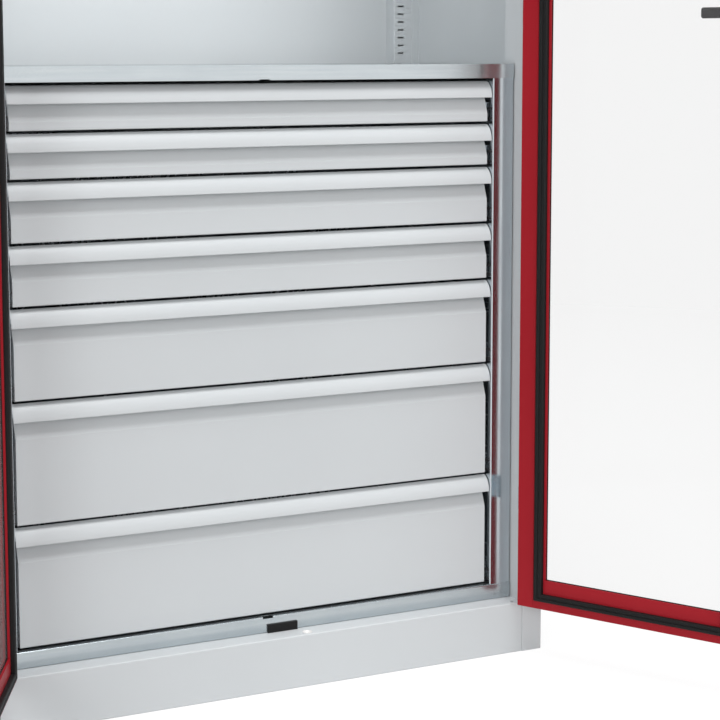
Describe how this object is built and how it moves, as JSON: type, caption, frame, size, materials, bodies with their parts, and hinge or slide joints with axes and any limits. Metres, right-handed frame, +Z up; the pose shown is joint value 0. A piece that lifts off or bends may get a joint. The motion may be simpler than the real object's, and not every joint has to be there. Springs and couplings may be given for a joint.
{
  "type": "tool cupboard with drawers",
  "caption": "Tall steel tool cupboard with hinged clear-panelled doors, a housing of full-width drawers in its lower half and open shelf space above.",
  "frame": {"origin": "on the floor at the middle of the cabinet body, at the centre of the floor bolts", "axes": "+Z up, front (doors and drawers) towards -Y, +X to the right seen from the front"},
  "size_m": [1.3979, 0.9845, 2],
  "materials": {
    "grey_paint": "light grey powder coat, smooth satin",
    "red_paint": "deep red powder coat, smooth satin",
    "zinc_plate": "galvanised sheet, semi-gloss with a bluish tone",
    "clear_pane": "clear smooth pane",
    "black_rubber": "matt black rubber",
    "bright_steel": "bright turned steel",
    "black_plastic": "matt black moulded plastic"
  },
  "bodies": {
    "root": {"side_panel_left": "grey_paint", "side_panel_right": "grey_paint", "back_panel": "grey_paint", "top_panel": "grey_paint", "base_panel": "grey_paint", "slotted_posts": "grey_paint", "shelves": "grey_paint", "foot_brackets": "zinc_plate", "shelf_clips": "zinc_plate", "housing_side_left": "zinc_plate", "housing_side_right": "zinc_plate", "deck_panel": "zinc_plate", "housing_bottom_rail": "zinc_plate", "cabinet_slide_rails": "zinc_plate", "door_stop_pad": "black_rubber", "hinge_column_leaves": "zinc_plate", "hinge_pins": "bright_steel"},
    "door_left": {"door_left_skin": "red_paint", "door_left_inner_frame": "red_paint", "door_left_pane": "clear_pane", "door_left_seal": "black_rubber", "door_left_hinge_leaves": "zinc_plate"},
    "door_right": {"door_right_skin": "red_paint", "door_right_inner_frame": "red_paint", "door_right_pane": "clear_pane", "door_right_seal": "black_rubber", "door_right_hinge_leaves": "zinc_plate", "lock_case": "black_plastic", "lock_rod_guides": "black_plastic"},
    "lock_handle": {"lock_handle": "black_plastic"},
    "lock_rod_lower": {"lock_rod_lower": "zinc_plate"},
    "lock_rod_upper": {"lock_rod_upper": "zinc_plate"},
    "drawer_1": {"drawer_1_front": "grey_paint", "drawer_1_grip": "grey_paint", "drawer_1_tray": "zinc_plate"},
    "drawer_1_middle": {"drawer_1_slide_middle": "zinc_plate"},
    "drawer_2": {"drawer_2_front": "grey_paint", "drawer_2_grip": "grey_paint", "drawer_2_tray": "zinc_plate"},
    "drawer_2_middle": {"drawer_2_slide_middle": "zinc_plate"},
    "drawer_3": {"drawer_3_front": "grey_paint", "drawer_3_grip": "grey_paint", "drawer_3_tray": "zinc_plate"},
    "drawer_3_middle": {"drawer_3_slide_middle": "zinc_plate"},
    "drawer_4": {"drawer_4_front": "grey_paint", "drawer_4_grip": "grey_paint", "drawer_4_tray": "zinc_plate"},
    "drawer_4_middle": {"drawer_4_slide_middle": "zinc_plate"},
    "drawer_5": {"drawer_5_front": "grey_paint", "drawer_5_grip": "grey_paint", "drawer_5_tray": "zinc_plate"},
    "drawer_5_middle": {"drawer_5_slide_middle": "zinc_plate"},
    "drawer_6": {"drawer_6_front": "grey_paint", "drawer_6_grip": "grey_paint", "drawer_6_tray": "zinc_plate"},
    "drawer_6_middle": {"drawer_6_slide_middle": "zinc_plate"},
    "drawer_7": {"drawer_7_front": "grey_paint", "drawer_7_grip": "grey_paint", "drawer_7_tray": "zinc_plate"},
    "drawer_7_middle": {"drawer_7_slide_middle": "zinc_plate"}
  },
  "joints": [
    {"name": "door_right_swing", "type": "hinge", "parent": "root", "child": "door_right", "pos_m": [0.4845, -0.265, 0], "axis": [0, 0, 1], "range_deg": [-116.1, 58.9]},
    {"name": "door_left_swing", "type": "hinge", "parent": "root", "child": "door_left", "pos_m": [-0.4845, -0.265, 0], "axis": [0, 0, -1], "range_deg": [-116.1, 58.9]},
    {"name": "lock_turn", "type": "hinge", "parent": "door_right", "child": "lock_handle", "pos_m": [0.67209, -0.6536, 1.13], "axis": [-0.898, -0.4399, 0], "range_deg": [0, 90]},
    {"name": "lock_lower_slide", "type": "slide", "parent": "door_right", "child": "lock_rod_lower", "axis": [0, 0, -1], "range_m": [0, 0.02]},
    {"name": "lock_upper_slide", "type": "slide", "parent": "door_right", "child": "lock_rod_upper", "axis": [0, 0, 1], "range_m": [0, 0.02]},
    {"name": "drawer_1_slide", "type": "slide", "parent": "root", "child": "drawer_1", "axis": [0, -1, 0], "range_m": [0, 0.4]},
    {"name": "drawer_1_middle_slide", "type": "slide", "parent": "root", "child": "drawer_1_middle", "axis": [0, -1, 0], "range_m": [0, 0.2]},
    {"name": "drawer_2_slide", "type": "slide", "parent": "root", "child": "drawer_2", "axis": [0, -1, 0], "range_m": [0, 0.4]},
    {"name": "drawer_2_middle_slide", "type": "slide", "parent": "root", "child": "drawer_2_middle", "axis": [0, -1, 0], "range_m": [0, 0.2]},
    {"name": "drawer_3_slide", "type": "slide", "parent": "root", "child": "drawer_3", "axis": [0, -1, 0], "range_m": [0, 0.4]},
    {"name": "drawer_3_middle_slide", "type": "slide", "parent": "root", "child": "drawer_3_middle", "axis": [0, -1, 0], "range_m": [0, 0.2]},
    {"name": "drawer_4_slide", "type": "slide", "parent": "root", "child": "drawer_4", "axis": [0, -1, 0], "range_m": [0, 0.4]},
    {"name": "drawer_4_middle_slide", "type": "slide", "parent": "root", "child": "drawer_4_middle", "axis": [0, -1, 0], "range_m": [0, 0.2]},
    {"name": "drawer_5_slide", "type": "slide", "parent": "root", "child": "drawer_5", "axis": [0, -1, 0], "range_m": [0, 0.4]},
    {"name": "drawer_5_middle_slide", "type": "slide", "parent": "root", "child": "drawer_5_middle", "axis": [0, -1, 0], "range_m": [0, 0.2]},
    {"name": "drawer_6_slide", "type": "slide", "parent": "root", "child": "drawer_6", "axis": [0, -1, 0], "range_m": [0, 0.4]},
    {"name": "drawer_6_middle_slide", "type": "slide", "parent": "root", "child": "drawer_6_middle", "axis": [0, -1, 0], "range_m": [0, 0.2]},
    {"name": "drawer_7_slide", "type": "slide", "parent": "root", "child": "drawer_7", "axis": [0, -1, 0], "range_m": [0, 0.4]},
    {"name": "drawer_7_middle_slide", "type": "slide", "parent": "root", "child": "drawer_7_middle", "axis": [0, -1, 0], "range_m": [0, 0.2]}
  ],
  "couplings": [
    {"joint": "lock_lower_slide", "follows": "lock_turn", "m_per_rad": 0.01273},
    {"joint": "lock_upper_slide", "follows": "lock_turn", "m_per_rad": 0.01273},
    {"joint": "drawer_1_middle_slide", "follows": "drawer_1_slide", "ratio": 0.5},
    {"joint": "drawer_2_middle_slide", "follows": "drawer_2_slide", "ratio": 0.5},
    {"joint": "drawer_3_middle_slide", "follows": "drawer_3_slide", "ratio": 0.5},
    {"joint": "drawer_4_middle_slide", "follows": "drawer_4_slide", "ratio": 0.5},
    {"joint": "drawer_5_middle_slide", "follows": "drawer_5_slide", "ratio": 0.5},
    {"joint": "drawer_6_middle_slide", "follows": "drawer_6_slide", "ratio": 0.5},
    {"joint": "drawer_7_middle_slide", "follows": "drawer_7_slide", "ratio": 0.5}
  ]
}
